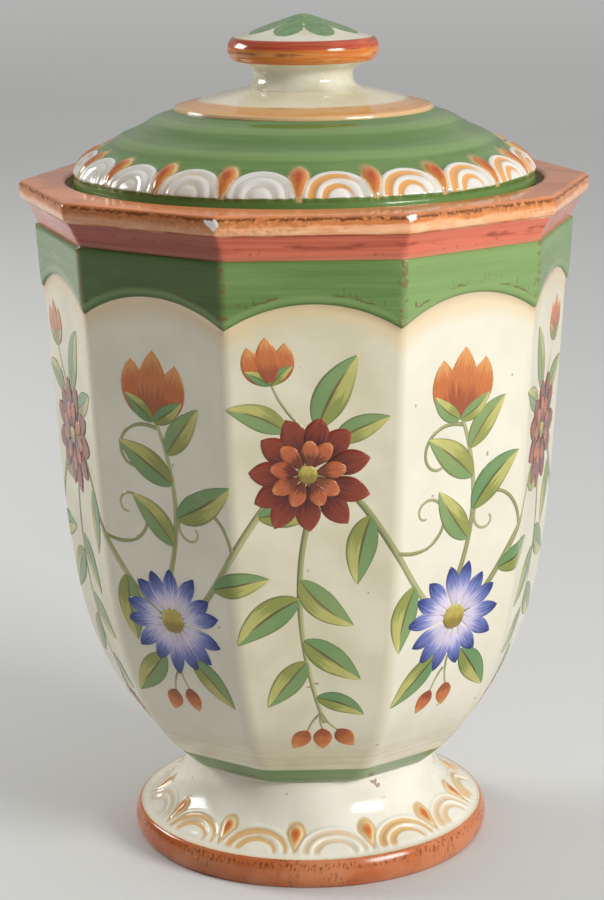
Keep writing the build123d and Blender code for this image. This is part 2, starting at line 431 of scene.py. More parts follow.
def valance_green(plain, valance, edge, painted_panel_shade, painted_panel_light, mottle, fine, upright, smudge, grain):
    """Green of the raised border with painted panel light and shade, a pale painted highlight on its lip
    over a dark painted shadow at its brink, worn brown in places.
    """
    # Painted shade darkens the green on the shaded panels, painted light lightens it on the lit ones
    green = plain.coat(painted_panel_shade * 0.6, PAINTED_SHADE_GREEN).coat(painted_panel_light * 0.4, PAINTED_LIGHT_GREEN)
    # A pale painted highlight on the rolled lip and a dark painted shadow at the brink below it
    painted_lip_highlight = valance.wobble(mottle, 1.2).band(1.3, 2.5, 1.1)
    painted_brink_shadow = valance.wobble(mottle, 0.8).rise(1.0, 0.1)
    green = green.coat(painted_lip_highlight * 0.6, PALE_GREEN).coat(painted_brink_shadow * 0.35, PAINTED_SHADE_GREEN)
    ticks = valance.band(3.1, 5.6, 0.8) * upright.rise(0.58, 0.66)
    worn_lip = valance.wobble(fine, 1.6).band(2.8, 3.3, 0.3).either(ticks) * smudge.rise(0.5, 0.6)
    green = green.coat(worn_lip * 0.8, BROWN)
    worn_corner = edge.wobble(fine, 2.6).rise(1.5, 0.9) * grain.wobble(smudge, 0.6).rise(0.46, 0.6)
    green = green.coat(worn_corner * 0.6, (0.20, 0.085, 0.03))
    dashes = upright.rise(0.64, 0.72) * smudge.rise(0.55, 0.66)
    return green.coat(dashes * 0.35, (0.30, 0.20, 0.08))


def cove_rose(collar, painted_panel_shade, painted_panel_light, level, smudge, grain):
    """Streaked rose of the cove with painted panel light and shade, pink at its foot and scuffed above it.
    """
    rose = level.blotch((0.48, 0.095, 0.045), ROSE, 0.34, 0.66)
    # Painted shade and painted light of the panels, on the rose
    rose = rose.coat(painted_panel_shade * 0.55, (0.10, 0.018, 0.009)).coat(painted_panel_light * 0.35, (0.84, 0.23, 0.145))
    streak = collar.band(3.6, 5.6, 0.8) * smudge.rise(0.5, 0.66)
    rose = rose.coat(streak * 0.7, (0.25, 0.03, 0.014))
    pink = collar.wobble(level, 1.4).band(0.2, 1.5, 0.4)
    rose = rose.coat(pink * 0.22, (0.60, 0.30, 0.22))
    scuff = collar.band(1.4, 3.2, 0.5) * grain.rise(0.56, 0.66) * smudge.rise(0.5, 0.6)
    return rose.coat(scuff * 0.5, BROWN)


def band_orange(collar, painted_panel_shade, level, smudge, grain):
    """Orange of the upright band, washed from pale to sienna, smudged brown and darkened by painted panel
    shade.
    """
    pale = smudge.blotch((0.84, 0.37, 0.17), (0.92, 0.53, 0.31), 0.3, 0.66)
    sienna = level.blotch((0.58, 0.18, 0.05), (0.84, 0.34, 0.13), 0.34, 0.66)
    wash = collar.wobble(smudge, 4.5).wobble(level, 2.5)
    orange = pale.coat(wash.rise(11.2, 12.6), sienna)
    brown = level.rise(0.5, 0.68) * grain.rise(0.4, 0.62)
    # Brown smudges, then painted shade on the shaded panels
    return orange.coat(brown * 0.4, (0.24, 0.075, 0.02)).coat(painted_panel_shade * 0.4, (0.22, 0.06, 0.013))


def rim_peach(painted, collar, mottle, level, smudge, grain):
    """The collar's paint with its peach land, and the ragged brown line between the two."""
    land = mottle.blotch((0.62, 0.20, 0.07), PEACH)
    ragged = collar.wobble(smudge, 2.2).wobble(grain, 2.6)
    bleed = ragged.band(12.4, 15.2, 1.0) * level.wobble(grain, 0.5).rise(0.4, 0.6)
    line = ragged.band(13.95, 14.75, 0.45) * grain.wobble(smudge, 0.7).rise(0.36, 0.54)
    painted = painted.coat(collar.rise(14.6, 15.6), land)
    return painted.coat(bleed * 0.5, (0.30, 0.09, 0.022)).coat(line * 0.92, BROWN)


def jar_material():
    """Painted jar: cream panels, green valance and stripe, rose cove, orange band, peach land."""
    glaze = Glaze("jar_painted_glaze")
    height, valance, collar, edge = glaze.marks("height", "valance", "collar", "edge")
    inside, tone, chip_across, chip_up = glaze.marks("inside", "tone", "chip_across", "chip_up")
    # Painted shade on the panels whose tone is below 0.5 and painted light on those above it
    painted_panel_shade = tone.rise(0.5, 0.0)
    painted_panel_light = tone.rise(0.5, 1.0)
    mottle = glaze.noise(52.0, 5.0)
    fine = glaze.noise(420.0)
    level = glaze.noise(22.0, 4.0, 700.0)
    upright = glaze.noise(900.0, 4.0, 140.0)
    smudge = glaze.noise(120.0, 4.0, 420.0)
    grain = glaze.noise(700.0, 5.0)

    plain = streaked_green(glaze)
    cream = panel_cream(glaze, height, valance, edge, painted_panel_shade.either(painted_panel_light), mottle, level)
    green = valance_green(plain, valance, edge, painted_panel_shade, painted_panel_light, mottle, fine, upright, smudge, grain)
    stripe = height.wobble(level, 1.6).rise(36.6, 36.2)
    belly = cream.coat(valance.rise(-0.12, 0.12), green).coat(stripe, plain)
    upper = collar.wobble(level, 2.4).wobble(smudge, 1.4).rise(8.3, 8.9)
    rose = cove_rose(collar, painted_panel_shade, painted_panel_light, level, smudge, grain)
    painted = rose.coat(upper, band_orange(collar, painted_panel_shade, level, smudge, grain))
    painted = rim_peach(painted, collar, mottle, level, smudge, grain)
    colour = belly.coat(collar.rise(-0.1, 0.1), painted).coat(inside, mottle.blotch(*LINING))
    flank = chip_across - (chip_up * CHIP_TAPER).sum("MINIMUM", 1.0)
    chip = flank.either(chip_up - 1.0).wobble(grain, 0.6).rise(0.04, -0.08)
    return glaze.fired(colour.coat(chip, (0.80, 0.78, 0.74)), chip * 0.5 + 0.06, level * 0.06)


def lid_material():
    """Green dome with a moulded white border, orange drops, a cream crown and an orange ring."""
    glaze = Glaze("lid_painted_glaze")
    rim, radius, drop, inside = glaze.marks("rim", "radius", "drop", "inside")
    across, up, tone = glaze.parts("lobe")
    mottle = glaze.noise(70.0, 4.0)
    fine = glaze.noise(520.0)
    level = glaze.noise(30.0, 4.0, 800.0)
    reach = distance(across, up).wobble(fine, 0.5)

    green = streaked_green(glaze)
    # Painted reflection bands: paler over the thrown ridges and darker, as painted shade, in the hollows
    # between them
    rings = ((rim - RING_START) * RING_PITCH).sum("SINE") * rim.band(17.0, 41.0, 3.0)
    rings = rings.wobble(level, 0.8)
    green_with_painted_ring_reflections = green.coat(rings.rise(0.1, 0.9, 0.42), PALE_GREEN)
    green_with_painted_ring_reflections = green_with_painted_ring_reflections.coat(rings.rise(-0.1, -0.9, 0.5), DEEP_GREEN)

    outer = reach.rise(8.9, 8.5) * distance(across - 1.0, up + 1.0).rise(7.3, 7.7)
    inner = reach.rise(4.9, 4.5) * distance(across - 0.8, up + 0.8).rise(3.6, 4.0)
    ochre = tone.wobble(mottle, 0.6).rise(0.1, 0.6) * across.wobble(fine, 3.0).rise(8.5, 2.0)
    grooves = outer.either(inner) * ochre
    lines = reach.band(7.5, 7.9, 0.3).either(reach.band(3.7, 4.1, 0.3))
    lobe = mottle.blotch((0.66, 0.64, 0.57), (0.78, 0.76, 0.71))
    lobe = lobe.coat(lines * 0.5, (0.42, 0.36, 0.19)).coat(grooves * 0.92, (0.70, 0.32, 0.07))
    on_lobe = reach.rise(10.4, 10.1) * up.wobble(level, 2.4).rise(-0.15, 0.15)
    colour = green_with_painted_ring_reflections.coat(on_lobe, lobe)

    feather = drop.wobble(fine, 0.35)
    core = feather.blotch((0.58, 0.21, 0.05), (0.42, 0.075, 0.014), 0.75, 0.15)
    colour = colour.coat(feather.rise(1.45, 0.95) * 0.55, (0.58, 0.31, 0.10))
    colour = colour.coat(feather.band(0.84, 1.04, 0.1) * 0.6, (0.74, 0.52, 0.27))
    colour = colour.coat(feather.rise(0.86, 0.76), core)
    edge = rim.wobble(level, 3.0).wobble(mottle, 2.6).rise(3.3, 3.0)
    colour = colour.coat(edge, green)

    cream = mottle.blotch((0.67, 0.61, 0.43), (0.79, 0.73, 0.55))
    grain = glaze.noise(60.0, 4.0, 1500.0).rise(0.56, 0.68) * mottle.rise(0.45, 0.6)
    ring = level.blotch((0.66, 0.30, 0.09), (0.64, 0.37, 0.16)).coat(grain * 0.55, (0.28, 0.11, 0.04))
    crown = cream.coat(radius.wobble(mottle, 2.8).rise(31.4, 33.6), ring)
    pale_line = radius.wobble(mottle, 0.5).band(39.7, 40.9, 0.15)
    crown = crown.coat(pale_line * 0.4, (0.68, 0.56, 0.34))
    colour = colour.coat(radius.rise(40.75, 40.55), crown).coat(inside, mottle.blotch(*LINING))
    return glaze.fired(colour, 0.06, level * 0.12)


def foot_material():
    """White foot with ochre arches and orange drops over a terracotta rolled edge."""
    glaze = Glaze("foot_painted_glaze")
    flare, drop, inside = glaze.marks("flare", "drop", "inside")
    across, up, tone = glaze.parts("lobe")
    mottle = glaze.noise(60.0, 4.0)
    fine = glaze.noise(480.0)
    upright = glaze.noise(1300.0, 4.0, 420.0)
    reach = distance(across, up).wobble(fine, 0.5)

    specks = glaze.noise(210.0).rise(0.66, 0.70) * flare.rise(18.0, 22.0)
    white = mottle.blotch((0.74, 0.70, 0.58), WHITE).coat(specks * 0.7, (0.27, 0.11, 0.04))
    outer = reach.rise(9.0, 8.5) * distance(across - 0.7, up + 0.7).rise(7.0, 7.5)
    inner = reach.rise(6.0, 5.5) * distance(across - 0.6, up + 0.6).rise(4.2, 4.7)
    strength = up.rise(-1.0, 0.8) * tone.wobble(mottle, 0.8).rise(-0.4, 0.7)
    arches = outer.either(inner) * strength
    colour = white.coat(arches * 0.85, (0.68, 0.38, 0.11))

    feather = drop.wobble(fine, 0.22)
    core = feather.blotch((0.68, 0.38, 0.13), (0.58, 0.13, 0.025), 0.75, 0.2)
    colour = colour.coat(feather.band(0.9, 1.4, 0.15) * 0.8, (0.62, 0.39, 0.13))
    colour = colour.coat(feather.rise(1.1, 0.8) * 0.55, (0.72, 0.47, 0.19))
    colour = colour.coat(feather.rise(0.85, 0.65), core)

    speckle = upright.rise(0.5, 0.66) * glaze.noise(75.0).rise(0.44, 0.62)
    top_line = flare.wobble(fine, 1.4).band(-3.2, -1.2, 0.5) * upright.rise(0.5, 0.62)
    terracotta = mottle.blotch(RUST, (0.58, 0.21, 0.09))
    terracotta = terracotta.coat(speckle * 0.6, BROWN).coat(top_line * 0.65, BROWN)
    colour = colour.coat(flare.wobble(fine, 0.4).rise(0.5, 0.2), terracotta)
    pale_line = flare.wobble(fine, 0.3).band(0.35, 1.1, 0.2)
    colour = colour.coat(pale_line * 0.7, (0.72, 0.60, 0.40))
    bare = mottle.blotch((0.56, 0.52, 0.42), (0.66, 0.62, 0.52))
    return glaze.fired(colour.coat(inside, bare), 0.05)


def knob_material():
    """Cream knob with green leaves from its tip and a red and orange rolled edge."""
    glaze = Glaze("knob_painted_glaze")
    rolled, leaf = glaze.marks("rolled", "leaf")
    mottle = glaze.noise(110.0, 4.0)
    fine = glaze.noise(600.0)
    level = glaze.noise(40.0, 4.0, 1100.0)
    cream = mottle.blotch((0.58, 0.54, 0.38), (0.70, 0.67, 0.55))
    brush = fine.blotch((0.095, 0.20, 0.06), (0.16, 0.28, 0.10))
    cap = cream.coat(leaf.wobble(fine, 0.25).rise(1.06, 0.94), brush)
    orange = level.blotch((0.56, 0.155, 0.03), (0.68, 0.29, 0.07), 0.35, 0.65)
    red = level.blotch((0.34, 0.045, 0.02), (0.60, 0.125, 0.055))
    edge = orange.coat(rolled.wobble(level, 2.2).rise(4.3, 5.2), red)
    streaks = level.rise(0.5, 0.64) * mottle.rise(0.4, 0.56)
    edge = edge.coat(streaks * 0.75, (0.15, 0.025, 0.01))
    on_edge = rolled.wobble(mottle, 0.5).band(-0.3, 8.3, 0.15)
    return glaze.fired(cap.coat(on_edge, edge), 0.05)


def rubber_material():
    """Milky satin silicone with a fine moulded grain."""
    glaze = Glaze("seal_milky_silicone")
    cloud = glaze.noise(120.0, 4.0)
    colour = cloud.blotch((0.62, 0.62, 0.58), (0.72, 0.72, 0.69))
    return glaze.finish(colour, cloud.rise(-0.6, 1.4, 0.75), glaze.noise(1800.0, 2.0), FINE_BUMP)


# The jar, whose rings all have the same columns

SIDE_COLUMNS = FLAT_COLUMNS + CORNER_COLUMNS
ROUND_STEPS = np.arange(1, CORNER_COLUMNS + 1) / (CORNER_COLUMNS + 1)
ANGLES = np.repeat(FRONT + 2 * PANEL * np.arange(SIDES), SIDE_COLUMNS)
SHARES = np.tile([*np.linspace(-1, 1, FLAT_COLUMNS), *np.ones(CORNER_COLUMNS)], SIDES)
TURNS = np.tile([*np.zeros(FLAT_COLUMNS), *(2 * PANEL * ROUND_STEPS)], SIDES)
COLUMNS = len(ANGLES)
QUARTER = math.pi / 2
CIRCLE_APOTHEM = 80.0


def ring(apothem, rounding, height):
    """One ring of the ten-sided form."""
    half = (apothem - rounding) * math.tan(PANEL)
    across = SHARES * half + rounding * np.sin(TURNS)
    out = apothem - rounding + rounding * np.cos(TURNS)
    x = out * np.cos(ANGLES) - across * np.sin(ANGLES)
    y = out * np.sin(ANGLES) + across * np.cos(ANGLES)
    return np.stack([x, y, height + np.zeros(COLUMNS)], axis=-1)


def circle(radius, height):
    """One round ring, in the same columns, drawn in or out from a ten-sided one."""
    made = ring(CIRCLE_APOTHEM, COLLAR_CORNER, height)
    made[:, :2] *= radius / np.linalg.norm(made[:, :2], axis=1, keepdims=True)
    return made


def belly_rings(scallop):
    """Rings from the middle of the base up the panels and over the raised border to the collar."""
    base = body_apothem(FOOT_HEIGHT)
    rings = [ring(*MIDDLE_RING, FOOT_HEIGHT)]
    for inset, rise in ((0.9, 0.0), (0.3, 0.12)):
        rings.append(ring(base - inset, BASE_CORNER - inset, FOOT_HEIGHT + rise))
    levels = [FOOT_HEIGHT + 0.6, *np.linspace(FOOT_HEIGHT + 1.4, STRAIGHT_TOP, 56)]
    levels += [STRAIGHT_TOP + (scallop - STRAIGHT_TOP) * share for share in np.linspace(0, 1, 15)[1:]]
    levels = [(height, 0.0) for height in levels]
    levels += [(scallop + rise, lift) for rise, lift in BORDER_ROLL]
    rolled = scallop + ROLL_TOP
    to_collar = COLLAR_FOOT - 0.35 - rolled
    levels += [(rolled + to_collar * share, BORDER) for share in np.linspace(0, 1, 10)[1:]]
    for height, lift in levels:
        rings.append(ring(body_apothem(height) + lift, body_corner(height), height))
    for lift, rise in ((0.8, -0.1), (0.5, 0.0), (0.1, 0.02)):
        rings.append(ring(body_apothem(COLLAR_FOOT) + lift, BODY_CORNER, COLLAR_FOOT + rise))
    return rings


def collar_rings():
    """Rings of the hollowed cove, the upright band, the land and the rounded edge of the recess."""
    rings = []
    for share in np.linspace(1 / 32, 1, 11):
        radius = BODY_RADIUS + (COVE_RADIUS - BODY_RADIUS) * (0.6 * share + 0.4 * share**2)
        corner = BODY_CORNER + (COLLAR_CORNER - BODY_CORNER) * share
        rings.append(ring(radius * math.cos(PANEL), corner, COLLAR_FOOT + (COVE_TOP - COLLAR_FOOT) * share))
    band = []
    for turn in np.linspace(0.08, QUARTER, 9):
        band.append((BAND_INSET * (1 - math.sin(turn)), COVE_TOP + BAND_RISE * (1 - math.cos(turn))))
    band.append((0.0, COVE_TOP + BAND_RISE + 0.5))
    for turn in np.linspace(0, QUARTER, 9):
        band.append((RIM_ROUND * (1 - math.cos(turn)), RIM - RIM_ROUND * (1 - math.sin(turn))))
    for inset, height in band:
        rings.append(ring(COLLAR_RADIUS * math.cos(PANEL) - inset, COLLAR_CORNER - inset, height))
    outer = rings[-1]
    inner = circle(RECESS_RADIUS + RECESS_ROUND, RIM + LAND_CROWN)
    rings += [outer + (inner - outer) * share for share in (0.04, 0.2, 0.4, 0.6, 0.8, 0.96, 1.0)]
    for turn in np.linspace(0, QUARTER, 6)[1:]:
        radius = RECESS_RADIUS + RECESS_ROUND * (1 - math.sin(turn))
        rings.append(circle(radius, RIM + LAND_CROWN - RECESS_ROUND * (1 - math.cos(turn))))
    return rings


def inner_rings():
    """Rings down the recess, ledge, throat and shoulder, and down the cavity to its floor."""
    profile = [(RECESS_RADIUS, SEAT + 1.6), (RECESS_RADIUS, SEAT + LEDGE_ROUND)]
    profile += [(RECESS_RADIUS - LEDGE_ROUND, SEAT), (LEDGE_MIDDLE, SEAT)]
    profile += [(THROAT_RADIUS + THROAT_ROUND, SEAT), (THROAT_RADIUS, SEAT - THROAT_ROUND)]
    profile += [(THROAT_RADIUS, THROAT_FOOT + rise) for rise in (8.0, 4.0, 0.0)]
    widening = body_apothem(SHOULDER) - WALL - THROAT_RADIUS
    drop = THROAT_FOOT - SHOULDER
    profile += [(THROAT_RADIUS + widening * s, THROAT_FOOT - drop * s) for s in (0.03, 0.5, 1.0)]
    rings = [circle(radius, height) for radius, height in profile]
    for height in [SHOULDER - 0.05, *np.linspace(188.0, 50.0, 30), *np.linspace(48.0, FLOOR + 0.6, 8)]:
        rings.append(ring(body_apothem(height) - WALL, body_corner(height) + CAVITY_ROUND, height))
    for inset in (0.6, 6.0, 18.0):
        rings.append(ring(body_apothem(FLOOR) - WALL - inset, FLOOR_CORNER * (1 - inset / 24), FLOOR))
    return [*rings, ring(*MIDDLE_RING, FLOOR)]


def chip_places(points, outside):
    """How far points lie across and up from the chips at the front of the rim, 1 at their outline."""
    across = np.full(outside.shape, FAR)
    up = np.full(outside.shape, -FAR)
    x, y, z = np.moveaxis(points, -1, 0)
    low, high = CHIP_LEVELS
    front = outside & (y < 0) & (z > low) & (z < high)
    for corner, foot, half_width, tall, lean in CHIPS:
        turn = FRONT + corner * PANEL
        sideways = y * math.cos(turn) - x * math.sin(turn) + lean * (z - foot)
        near = front & (x * corner > 0)
        across = np.where(near, np.abs(sideways) / half_width, across)
        up = np.where(near, (z - foot) / tall, up)
    return across, up


def make_jar(material):
    """The whole jar as one closed skin: base, panels, border, collar, recess, throat and cavity."""
    half = (body_apothem(SCALLOP_POINT + SCALLOP_RISE) - BODY_CORNER) * math.tan(PANEL)
    round_corner = half + BODY_CORNER * np.sin(np.minimum(TURNS, 2 * PANEL - TURNS))
    scallop = scallop_height(np.where(TURNS > 0, round_corner, np.abs(SHARES) * half))
    belly = belly_rings(scallop)
    outer = belly + collar_rings()
    points = np.stack(outer + inner_rings())
    rows = len(points)
    heights = points[..., 2]

    middle = points[:, FLAT_COLUMNS // 2]
    profile = np.stack([np.linalg.norm(middle[:, :2], axis=1), middle[:, 2]], axis=-1)
    collar = path_lengths(profile, len(belly) - 1)[:, None] + np.zeros(COLUMNS)
    collar[: len(belly)] = np.minimum(heights[: len(belly)] - COLLAR_FOOT, 0.0) - 0.2
    inside = np.zeros((rows, COLUMNS))
    inside[len(outer) :] = 1.0
    inside[len(outer)] = 0.5
    # Each panel's painted light and shade, blended across the corner into the next, carried as the tone
    # mark
    tone = np.repeat(PANEL_LIGHT_AND_SHADE, SIDE_COLUMNS)
    after = np.repeat(np.roll(PANEL_LIGHT_AND_SHADE, -1), SIDE_COLUMNS)
    tone = np.tile(tone + (after - tone) * TURNS / (2 * PANEL), (rows, 1))
    halves = np.linalg.norm(points[..., :2], axis=-1) * math.sin(PANEL)
    from_corner = BODY_CORNER * PANEL + (1 - np.abs(SHARES)) * halves
    edge = np.where(TURNS > 0, np.abs(TURNS - PANEL) * BODY_CORNER, from_corner)

    chip_across, chip_up = chip_places(points, inside < 0.5)
    chip = np.maximum(chip_across - np.minimum(chip_up * CHIP_TAPER, 1), chip_up - 1)
    dent = CHIP_DEPTH * smooth_step(chip, 0.1, -0.5)
    points[..., :2] *= (1 - dent / COLLAR_RADIUS)[..., None]

    count = rows * COLUMNS
    last = count - COLUMNS
    faces = ring_faces(rows, COLUMNS, False)
    faces += [((c + 1) % COLUMNS, c, count) for c in range(COLUMNS)]
    faces += [(last + c, last + (c + 1) % COLUMNS, count + 1) for c in range(COLUMNS)]
    points = np.vstack([points.reshape(-1, 3), [[0, 0, FOOT_HEIGHT], [0, 0, FLOOR]]])
    marks = {
        "height": (heights, FOOT_HEIGHT, FLOOR),
        "valance": (heights - scallop, -99, -99),
        "collar": (collar, -99, 200),
        "inside": (inside, 0, 1),
        "edge": (edge, 20, 20),
        "tone": (tone, 0.5, 0.5),
        "chip_across": (chip_across, FAR, FAR),
        "chip_up": (chip_up, -FAR, -FAR),
    }
    marks = {name: np.append(values, ends) for name, (values, *ends) in marks.items()}
    new_piece("jar_shell", points, faces, marks, material, "jar", ["jar_body"])


# Moulded borders, with the middle, length, half width and widest share of their drops

LID_BORDER = {
    "turn": -2.8,
    "squeeze": 1.0,
    "arch_foot": 3.8,
    "arch_fade": (-1.3, 0.3),
    "arch_reach": (0.0, 2.2, 3.3, 4.3, 5.4, 6.2, 7.2, 8.2, 9.2, 9.8, 10.8),
    "arch_rise": (0.95, 0.9, 0.55, 0.55, 0.98, 0.98, 0.55, 0.55, 0.9, 0.8, 0.0),
    "drop_shape": (9.4, 13.2, 2.9, 0.62),
    "drop_rise": 1.4,
    "rows": range(-6, 80),
}
FOOT_BORDER = {
    "turn": -7.2,
    "squeeze": 0.84,
    "arch_foot": 3.2,
    "arch_fade": (-1.6, 0.8),
    "arch_reach": (0.0, 3.8, 4.7, 5.7, 6.4, 7.0, 7.6, 8.6, 9.3, 10.2),
    "arch_rise": (0.3, 0.35, 0.0, 0.0, 0.55, 0.55, 0.05, 0.05, 0.5, 0.0),
    "drop_shape": (9.4, 8.8, 2.3, 0.64),
    "drop_rise": 0.85,
    "rows": range(60),
}
NO_DROP = 5.0


def teardrop(across, along, middle, length, half_width, widest):
    """How far a point lies out from a drop's core: 1 on its outline, its point down."""
    share = np.clip((along - middle) / length + 0.5, -0.5, 1.5)
    head = (share - widest) / (1 - widest)
    tail = (widest - share) / widest
    reach = np.where(share > widest, head, tail)
    width = np.where(share > widest, 1.0, np.clip(1 - 0.55 * tail, 0.2, 1.0))
    return np.hypot(reach, across / (half_width * width))


def moulded_border(profile, along, outside, columns, tones, plan):
    """Relief of nested arches with a drop between each two, and the marks that their paint follows."""
    lobes = len(tones)
    pitch = 2 * math.pi / lobes
    share = (np.arange(columns) / columns * 2 * math.pi - math.radians(plan["turn"])) / pitch
    lobe = np.floor(share)
    radius = np.asarray(profile)[:, :1]
    across = radius * ((share - lobe - 0.5) * pitch) * plan["squeeze"]
    up = along[:, None] - plan["arch_foot"] + np.zeros(columns)
    relief = np.interp(np.hypot(across, up), plan["arch_reach"], plan["arch_rise"])
    relief = relief * smooth_step(up, *plan["arch_fade"])
    from_drop = radius * (((share + 0.5) % 1 - 0.5) * pitch)
    drop = teardrop(from_drop, along[:, None], *plan["drop_shape"])
    relief = np.maximum(relief, plan["drop_rise"] * np.sqrt(np.clip(1 - drop**2, 0, 1)))
    tone = np.asarray(tones)[lobe.astype(int) % lobes] + np.zeros(up.shape)
    outside = outside[:, None]
    up = np.where(outside, up, -FAR)
    drop = np.where(outside, drop, NO_DROP)
    marks = {"drop": drop.ravel(), "lobe": np.stack([across, up, tone], axis=-1).reshape(-1, 3)}
    return np.where(outside, relief, 0.0), marks


def knob_seam():
    """Slope of the lid's crown, bend of the knob's waist that runs on from it, and where they meet."""
    rise = (LAND - CROWN_EDGE[1]) / (CROWN_EDGE[0] - KNOB_BASE)
    slope = math.atan(rise)
    bend = (WAIST_HEIGHT - LAND - (KNOB_BASE - WAIST) * rise) / (1 / math.cos(slope) - rise)
    place = (WAIST + bend - bend * math.sin(slope), WAIST_HEIGHT - bend * math.cos(slope))
    return math.degrees(slope), bend, place


def groove_points():
    """Outline of the sealing ring's groove, from its lower edge to its upper edge."""
    points = []
    lower = (GROOVE_FOOT, FLANGE_RADIUS, GROOVE_RADIUS)
    upper = (GROOVE_TOP, GROOVE_RADIUS, FLANGE_RADIUS)
    for height, start, end in (lower, upper):
        nick = math.copysign(NICK, end - start)
        points += [(start, height - 2 * NICK), (start + nick, height)]
        points += [(end - nick, height), (end, height + 2 * NICK)]
    return points


def make_lid(material):
    """Domed lid with nested arches and drops moulded round its shoulder."""
    seat = [(FLANGE_RADIUS, SEAT), (SEAT_MIDDLE, SEAT), (LID_RADIUS - 1.4, SEAT)]
    edge = arc_points((LID_RADIUS - LID_ROUND, SEAT + LID_ROUND), LID_ROUND, -85, 0, 6)
    edge += line_points(edge[-1], (LID_RADIUS, BRIM_TOP), 2)
    brim = arc_points((LID_RADIUS - BRIM_BEND, BRIM_TOP), BRIM_BEND, 0, DOME_SLOPE, 27)
    centre, bend, turn = tangent_arc(brim[-1], DOME_SLOPE, DOME_TOP)
    dome = arc_points(centre, bend, DOME_SLOPE, turn, 52)[1:]
    seam = knob_seam()[2]
    crown = [(DOME_TOP[0] + out, DOME_TOP[1] + up) for out, up in CROWN_STEP]
    crown += [CROWN_EDGE, *line_points(CROWN_EDGE, seam, 16), seam, (VENT + VENT_ROUND, seam[1])]
    vent = [(VENT, seam[1] - VENT_ROUND), (VENT, VENT_FOOT + 0.3), (VENT + VENT_ROUND, VENT_FOOT)]
    under = arc_points(centre, bend - LID_WALL, UNDER_START, UNDER_TURN, 16)[:-1]
    under += arc_points((FLANGE_BORE - LID_WALL, UNDER_FOOT), LID_WALL, UNDER_TURN, 0, 6)
    under += line_points(under[-1], (FLANGE_BORE, FLANGE_FOOT + 0.3), 4)
    flange = [(FLANGE_BORE + 0.1, FLANGE_FOOT + NICK), (FLANGE_BORE + 0.5, FLANGE_FOOT)]
    flange += [(FLANGE_RADIUS - 0.4, FLANGE_FOOT), (FLANGE_RADIUS - NICK, FLANGE_FOOT + 2 * NICK)]
    flange += [(FLANGE_RADIUS, FLANGE_FOOT + 0.4), *groove_points(), (FLANGE_RADIUS, SEAT - 2 * NICK)]
    start = len(seat) + len(edge)
    skin = seat + edge + brim + dome + crown
    profile = skin + vent + under + flange

    columns = LID_LOBES * LID_LOBE_COLUMNS
    rows = np.arange(len(profile))
    outside = np.isin(rows - start, LID_BORDER["rows"])
    rim = path_lengths(profile, start)
    chance = random.Random(31)
    tones = [0.85 if lobe < LID_LOBES / 2 else 0.15 for lobe in range(LID_LOBES)]
    tones = [tone + chance.uniform(-0.15, 0.15) for tone in tones]
    relief, marks = moulded_border(profile, rim, outside, columns, tones, LID_BORDER)
    rings = RING_HEIGHT * np.sin((rim - RING_START) * RING_PITCH)
    rings = rings * smooth_step(rim, 16.0, 21.0) * smooth_step(rim, 42.5, 38.0)
    relief += np.where(outside, rings, 0.0)[:, None]
    marks["rim"] = np.repeat(rim, columns)
    marks["radius"] = np.repeat([radius for radius, height in profile], columns)
    marks["inside"] = np.repeat((rows < 2) | (rows >= len(skin)), columns)
    bed = range((len(skin) - 2) * columns, (len(skin) - 1) * columns)
    points = turned_grid(profile, columns, relief)
    faces = ring_faces(len(profile), columns, True)
    new_piece("lid_shell", points, faces, marks, material, "lid", ["lid_dome"], bed)


def make_foot(material):
    """Trumpet foot with low moulded arches and drops over its rolled edge."""
    rolled = rolled_edge(FOOT_EDGE, 0.0, FOOT_EDGE_TOP, FOOT_BULGE, 16)
    centre, bend, turn = tangent_arc((FOOT_NECK, FOOT_HEIGHT), 180, (FOOT_EDGE, FOOT_EDGE_TOP))
    flare = arc_points(centre, bend, turn, 180, 64)[1:]
    neck = [(FOOT_NECK - 0.1, FOOT_HEIGHT), (FOOT_NECK - FOOT_WALL + 0.1, FOOT_HEIGHT)]
    hollow = arc_points(centre, bend + FOOT_WALL, 180, HOLLOW_TURN, 14)
    profile = rolled + flare + neck + hollow + [*STAND, (FOOT_EDGE - 0.4, 0.0)]

    columns = FOOT_LOBES * FOOT_LOBE_COLUMNS
    start = len(rolled) - 1
    rows = np.arange(len(profile))
    outside = np.isin(rows - start, FOOT_BORDER["rows"])
    along = path_lengths(profile, start)
    tones = [random.Random(57 + lobe).random() for lobe in range(FOOT_LOBES)]
    relief, marks = moulded_border(profile, along, outside, columns, tones, FOOT_BORDER)
    marks["flare"] = np.repeat(along, columns)
    marks["inside"] = np.repeat(rows > len(rolled) + len(flare), columns)
    points = turned_grid(profile, columns, relief)
    faces = ring_faces(len(profile), columns, True)
    new_piece("foot_shell", points, faces, marks, material, "jar", ["pedestal_foot"])


